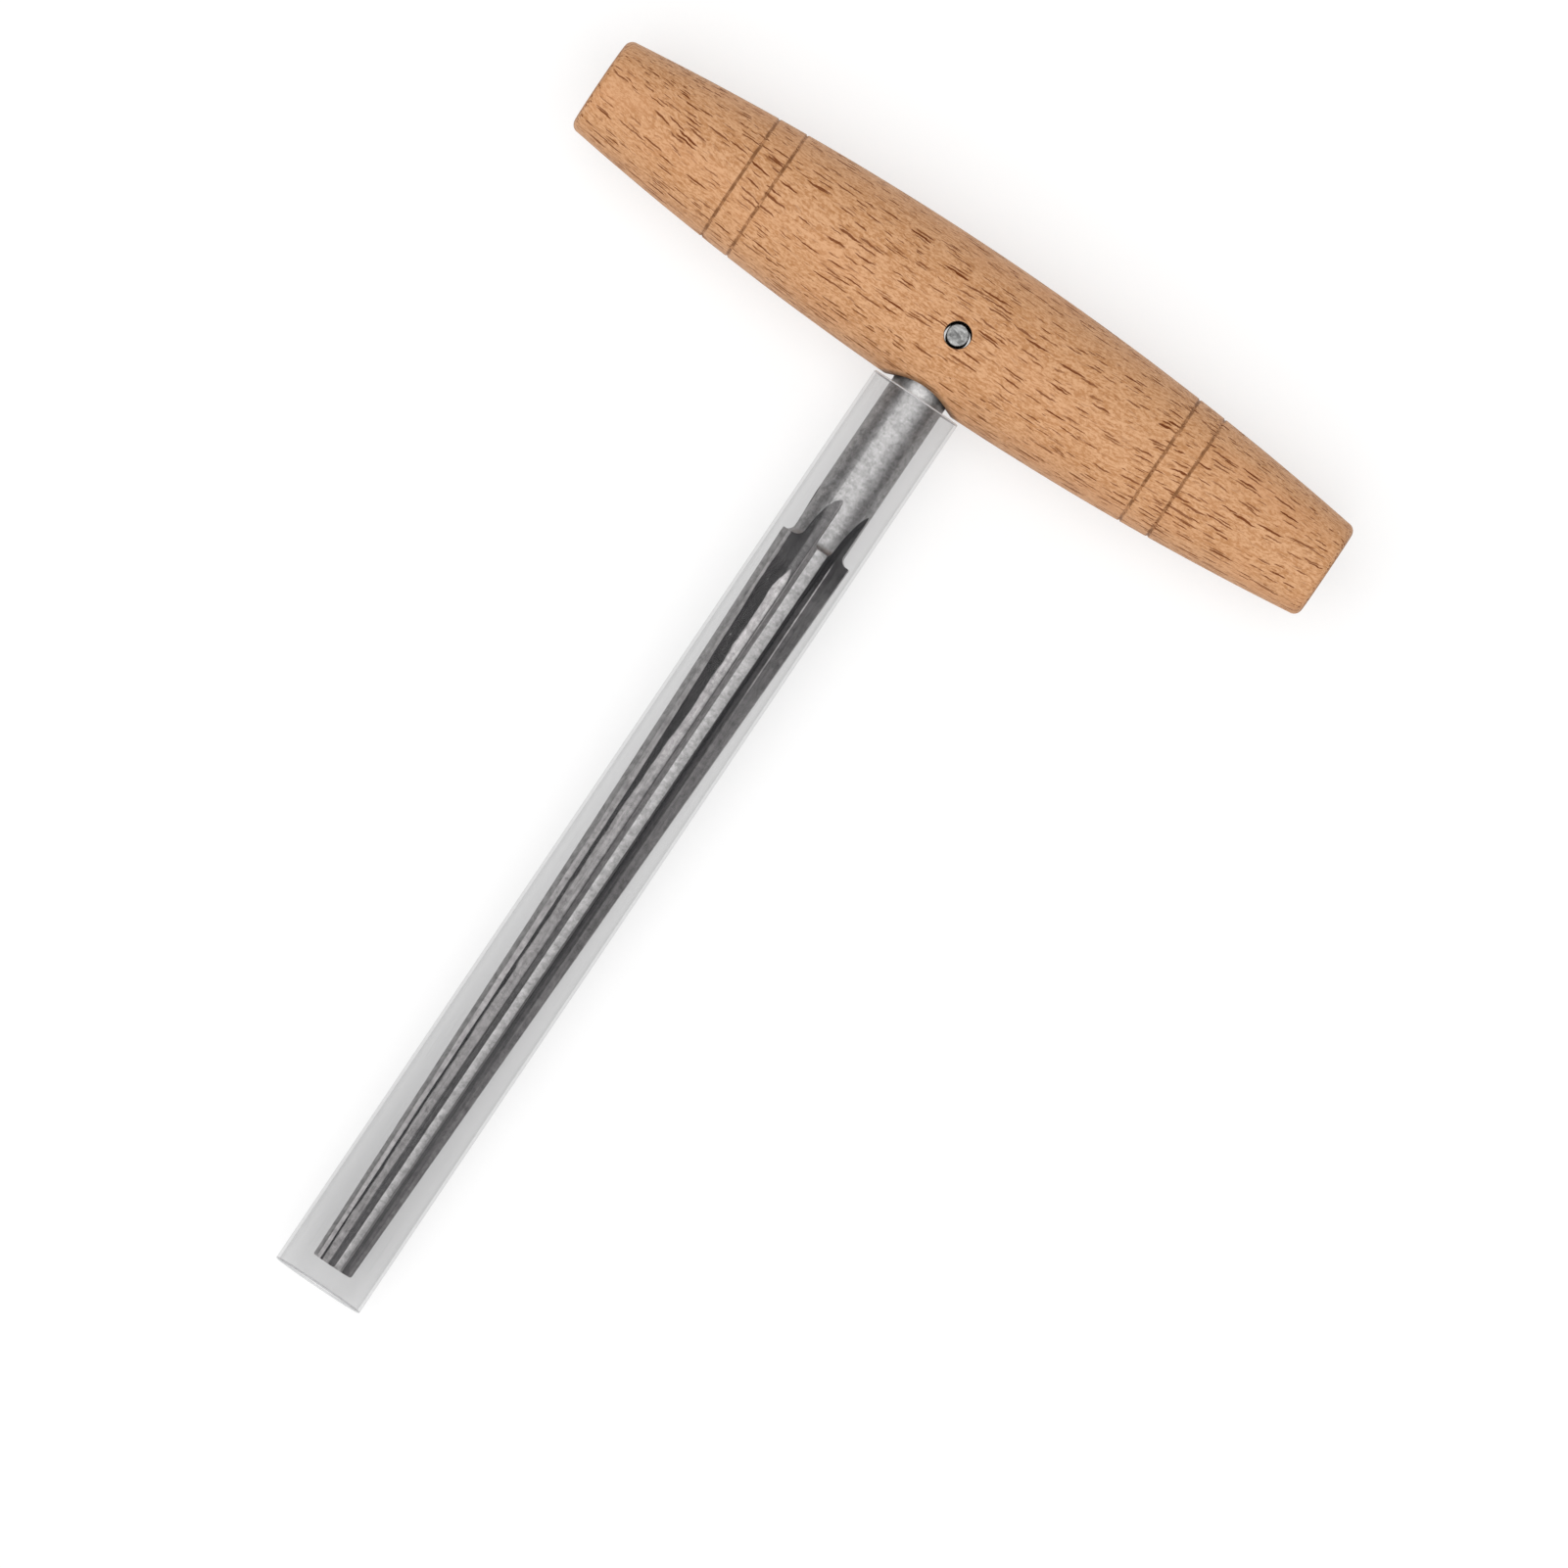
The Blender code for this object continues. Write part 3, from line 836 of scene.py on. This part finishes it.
def flute_outline(blade, share):
    """One flute's cross-section in shares of the radius, and the way its mill lifts out.

    The share runs from 0 at the shoulder to 1 at the tip, where the flutes are shallower.
    """
    turn = math.degrees(blade.drift) * share

    def here(pair):
        return pair[0] + pair[1] * share

    edge = polar(1.0, EDGE_TURN + turn)
    root = polar(here(ROOT_SHARE), here(ROOT_TURN) + turn)
    low = polar(here(FLOOR_SHARE), here(FLOOR_TURN) + turn)
    heel = polar(1.0, HEEL_TURN - 360 / blade.flutes + turn)
    top = root + OUTSIDE * (edge - root)
    side = low + OUTSIDE * (heel - low)
    middle = polar(OUTSIDE, turn + OUTSIDE_TURN)
    depth = 1 - 0.5 * share
    bend = rounded(top, root, low, ROOT_ROUND * depth) + rounded(root, low, side, FLOOR_ROUND * depth)
    return [top] + bend + [side, middle], (edge - root).normalized()


def flute_rows(blade):
    """Sections along one flute: the round run-out on the shank, then the taper."""
    outline, out = flute_outline(blade, 0.0)
    large = taper_radius(blade, blade.full)
    start = blade.runout - MILL_LEAD
    rows = []
    steps = 40
    for i in range(steps):
        along = start + (blade.full - start) * i / steps
        back = blade.full - along
        lift = blade.mill_r - math.sqrt(blade.mill_r ** 2 - back * back)
        rows.append((along, [p * large + out * lift for p in outline]))
    steps = 32
    for i in range(steps + 1):
        along = blade.full + (blade.tip + MILL_PAST - blade.full) * i / steps
        share = (along - blade.full) / (blade.tip - blade.full)
        radius = taper_radius(blade, along)
        rows.append((along, [p * radius for p in flute_outline(blade, share)[0]]))
    return rows


def flute_mesh(blade):
    """A closed body that fills one flute."""
    bm = bmesh.new()
    rings = [[bm.verts.new((p.x, -along, p.y)) for p in row] for along, row in flute_rows(blade)]
    for near, far in zip(rings, rings[1:]):
        for i in range(len(near)):
            j = (i + 1) % len(near)
            bm.faces.new((near[i], near[j], far[j], far[i]))
    bm.faces.new(rings[0])
    bm.faces.new(rings[-1])
    return finish_mesh("flute", bm)


class PEGREAMER_OT_blade(Operator):
    """Grind the shank and taper, then mill the flutes"""

    bl_idname = "peg_reamer.blade"
    bl_label = "Grind Blade"

    def execute(self, context):
        blade = context.scene.reamer_blade
        pin = context.scene.reamer_pin
        ground = steel(
            "ground_steel", tuple(blade.ground), rough=0.46, cloud=0.9, contrast=2.2,
            streaks=0.05, stretch=(0.05, 1, 0.05), blotch=1.2, depth=0.22,
            marks={"Length": 0.9, "Width": 0.1, "Share": 0.5},
        )
        milled = steel(
            "milled_steel", tuple(blade.milled), rough=0.40, cloud=0.9, contrast=2.0,
            streaks=0.16, stretch=(1, 0.05, 1), blotch=0.9, depth=0.2,
            marks={"Length": 5.0, "Width": 0.12, "Share": 0.5}, flutes=blade,
        )
        blank = spun("reamer_steel", blade_profile(blade), "Y", 300)
        blank.materials.append(ground)
        flute = flute_mesh(blade)
        flute.materials.append(milled)
        cutters = []
        for i in range(blade.flutes):
            copy = flute.copy()
            copy.transform(Matrix.Rotation(math.tau * i / blade.flutes, 4, "Y"))
            cutters.append(copy)
        far = 2 * blade.large_d
        hole = rod("blade_hole", "Z", -far, far, pin.diameter / 2 + pin.gap, 64, (0, -pin.offset, 0))
        hole.materials.append(milled)
        mesh = carve("reamer_steel", blank, cutters + [hole])
        show("reamer_steel", mesh, "tool", "reamer")
        return {"FINISHED"}


# Pin
class PEGREAMER_OT_pin(Operator):
    """Drive the cross pin and file it flush"""

    bl_idname = "peg_reamer.pin"
    bl_label = "Drive Pin"

    def execute(self, context):
        handle = context.scene.reamer_handle
        pin = context.scene.reamer_pin
        radius = pin.diameter / 2
        half = math.sqrt((handle.middle_d / 2) ** 2 - (pin.offset + radius) ** 2)
        upper = [(half, radius * share) for share in (0.0, 0.3, 0.6)]
        for sine, cosine in arc(90, 4):
            upper.append((half - PIN_EASE + PIN_EASE * cosine, radius - PIN_EASE + PIN_EASE * sine))
        profile = upper + [(-z, r) for z, r in reversed(upper)]
        mesh = spun("pin_steel", profile, "Z", 96, centre=(0, -pin.offset, 0))
        filed = steel(
            "filed_steel", tuple(pin.steel), rough=0.44, cloud=0.75, contrast=3.6,
            streaks=0.2, stretch=(0.4, 1, 1), blotch=0.8, depth=0.5,
            marks={"Length": 0.8, "Width": 0.16, "Share": 0.7},
        )
        mesh.materials.append(filed)
        show("pin_steel", mesh, "tool", "pin")
        return {"FINISHED"}


# Sleeve
class PEGREAMER_OT_sleeve(Operator):
    """Slip the clear sleeve over the blade"""

    bl_idname = "peg_reamer.sleeve"
    bl_label = "Slip On Sleeve"

    def execute(self, context):
        sleeve = context.scene.reamer_sleeve
        half = sleeve.wall / 2
        middle = sleeve.outer_d / 2 - half
        round_r = 0.45 * sleeve.wall
        near = -sleeve.start
        far = -sleeve.start - sleeve.length
        turns = arc(180, 8)
        profile = [(near - round_r * (1 - sine), middle - half * cosine) for sine, cosine in turns]
        turns.reverse()
        profile += [(far + round_r * (1 - sine), middle - half * cosine) for sine, cosine in turns]
        mesh = spun("sleeve_plastic", profile, "Y", 160, closed=True, centre=(0, 0, -sleeve.hang))
        mesh.materials.append(clear_plastic(sleeve))
        show("sleeve_plastic", mesh, "guard", "sleeve")
        return {"FINISHED"}


# Stage
def plain_material(name, colour, roughness):
    """A plain stage material."""
    made = bpy.data.materials.new(name)
    made.use_nodes = True
    shader = made.node_tree.nodes["Principled BSDF"]
    shader.inputs["Base Color"].default_value = (*colour, 1.0)
    shader.inputs["Roughness"].default_value = roughness
    shader.inputs["Specular IOR Level"].default_value = 0.1
    return made


def looked_at(w):
    """One where a surface is looked at, straight, in metal or through the sleeve, and zero elsewhere."""
    path = w.node("ShaderNodeLightPath").outputs
    seen = w.maths("MAXIMUM", path["Is Camera Ray"], path["Is Glossy Ray"])
    return w.maths("MAXIMUM", seen, path["Is Transmission Ray"])


def paper(colour):
    """Pale floor that keeps soft shadows near the tool and is white far off where it is looked at."""
    made = plain_material("floor_paper", colour, 0.9)
    w = Wiring(made.node_tree)
    lit = made.node_tree.nodes["Principled BSDF"]
    end = made.node_tree.nodes["Material Output"]
    white = w.node("ShaderNodeEmission")
    both = w.node("ShaderNodeMixShader")
    away = w.vector("LENGTH", w.node("ShaderNodeTexCoord").outputs["Object"])
    whiteness = w.ramp(away, *WHITENING, WHITE_NEAR, 1.0)
    w.put(both.inputs["Fac"], w.maths("MULTIPLY", looked_at(w), whiteness))
    w.put(both.inputs[1], lit.outputs["BSDF"])
    w.put(both.inputs[2], white.outputs["Emission"])
    w.put(end.inputs["Surface"], both.outputs["Shader"])
    return made


def lamp(name, power, extent, place, aim):
    """A square soft lamp that looks at a point."""
    data = bpy.data.lights.new(name, "AREA")
    data.energy = power
    data.size = extent
    obj = bpy.data.objects.new(name, data)
    bpy.context.scene.collection.objects.link(obj)
    obj.location = place
    obj.rotation_euler = (Vector(aim) - Vector(place)).to_track_quat("-Z", "Y").to_euler()


def side_card(x):
    """A dark card beside the tool, unseen by the camera, that draws dark edges on the bright steel."""
    bm = bmesh.new()
    corners = [(-CARD_HALF, 0.0), (CARD_HALF, 0.0), (CARD_HALF, CARD_TOP), (-CARD_HALF, CARD_TOP)]
    bm.faces.new([bm.verts.new((x, y, z)) for y, z in corners])
    card = bpy.data.objects.new("side_card", finish_mesh("side_card", bm))
    card.data.materials.append(plain_material("dark_card", CARD_GREY, 0.9))
    card.visible_camera = False
    card.visible_diffuse = False
    card.visible_shadow = False
    bpy.context.scene.collection.objects.link(card)
    return card


def pale_world(scene):
    """Pale surroundings, white where they are looked at, in metal and through the sleeve."""
    world = bpy.data.worlds.new("studio")
    scene.world = world
    world.use_nodes = True
    w = Wiring(world.node_tree)
    sky = world.node_tree.nodes["Background"]
    sky.inputs["Color"].default_value = (1.0, 1.0, 1.0, 1.0)
    w.put(sky.inputs["Strength"], w.ramp(looked_at(w), 0.0, 1.0, SKY_LIGHT, 1.0))


class PEGREAMER_OT_stage(Operator):
    """Lay the floor, set the lamps and aim the camera"""

    bl_idname = "peg_reamer.stage"
    bl_label = "Set Stage"

    def execute(self, context):
        stage = context.scene.reamer_stage
        scene = context.scene
        bm = bmesh.new()
        bmesh.ops.create_grid(bm, x_segments=1, y_segments=1, size=FLOOR_HALF)
        floor = bpy.data.objects.new("floor", finish_mesh("floor", bm))
        floor.data.materials.append(paper(tuple(stage.floor)))
        floor.location = (0, 0, -FLOOR_DROP)
        scene.collection.objects.link(floor)
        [side_card(x) for x in (-0.55, 0.55)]
        lamp("overhead_softbox", power=25.0, extent=2.2, place=(-0.06, -0.3, 1.5), aim=(0, 0, 0))
        pale_world(scene)
        self.aim_camera(scene, stage)
        scene.view_settings.view_transform = "Standard"
        return {"FINISHED"}

    def aim_camera(self, scene, stage):
        """Long lens square to the tool, turned as in the photograph."""
        data = bpy.data.cameras.new("camera")
        data.lens = stage.lens
        data.sensor_width = SENSOR
        camera = bpy.data.objects.new("camera", data)
        scene.collection.objects.link(camera)
        reach = stage.view_width * stage.lens / SENSOR
        spot = Matrix.Translation((stage.aim_x, stage.aim_y, reach))
        camera.matrix_world = TOOL @ spot @ Matrix.Rotation(stage.roll, 4, "Z")
        scene.camera = camera


class PEGREAMER_PT_build(Panel):
    """Steps that build the peg reamer"""

    bl_label = "Peg Reamer"
    bl_idname = "PEGREAMER_PT_build"
    bl_space_type = "VIEW_3D"
    bl_region_type = "UI"
    bl_category = "Peg Reamer"

    def draw(self, context):
        layout = self.layout
        for step in STEPS:
            layout.operator(step.bl_idname)
        for name in SETTINGS:
            group = getattr(context.scene, name)
            box = layout.box()
            box.label(text=type(group).__doc__)
            for key in group.bl_rna.properties.keys():
                if key not in ("rna_type", "name"):
                    box.prop(group, key)


SETTINGS = {
    "reamer_handle": HandleSettings,
    "reamer_blade": BladeSettings,
    "reamer_pin": PinSettings,
    "reamer_sleeve": SleeveSettings,
    "reamer_stage": StageSettings,
}
STEPS = (
    PEGREAMER_OT_handle,
    PEGREAMER_OT_blade,
    PEGREAMER_OT_pin,
    PEGREAMER_OT_sleeve,
    PEGREAMER_OT_stage,
)
CLASSES = (*SETTINGS.values(), *STEPS, PEGREAMER_PT_build)


def register():
    """Add the settings, the steps and the panel."""
    for item in CLASSES:
        bpy.utils.register_class(item)
    for name, group in SETTINGS.items():
        setattr(bpy.types.Scene, name, PointerProperty(type=group))


def unregister():
    """Take the settings, the steps and the panel away."""
    for name in SETTINGS:
        delattr(bpy.types.Scene, name)
    for item in reversed(CLASSES):
        bpy.utils.unregister_class(item)


def main():
    """Build every piece in order."""
    register()
    bpy.ops.peg_reamer.handle()
    bpy.ops.peg_reamer.blade()
    bpy.ops.peg_reamer.pin()
    bpy.ops.peg_reamer.sleeve()
    bpy.ops.peg_reamer.stage()


if __name__ == "__main__":
    main()
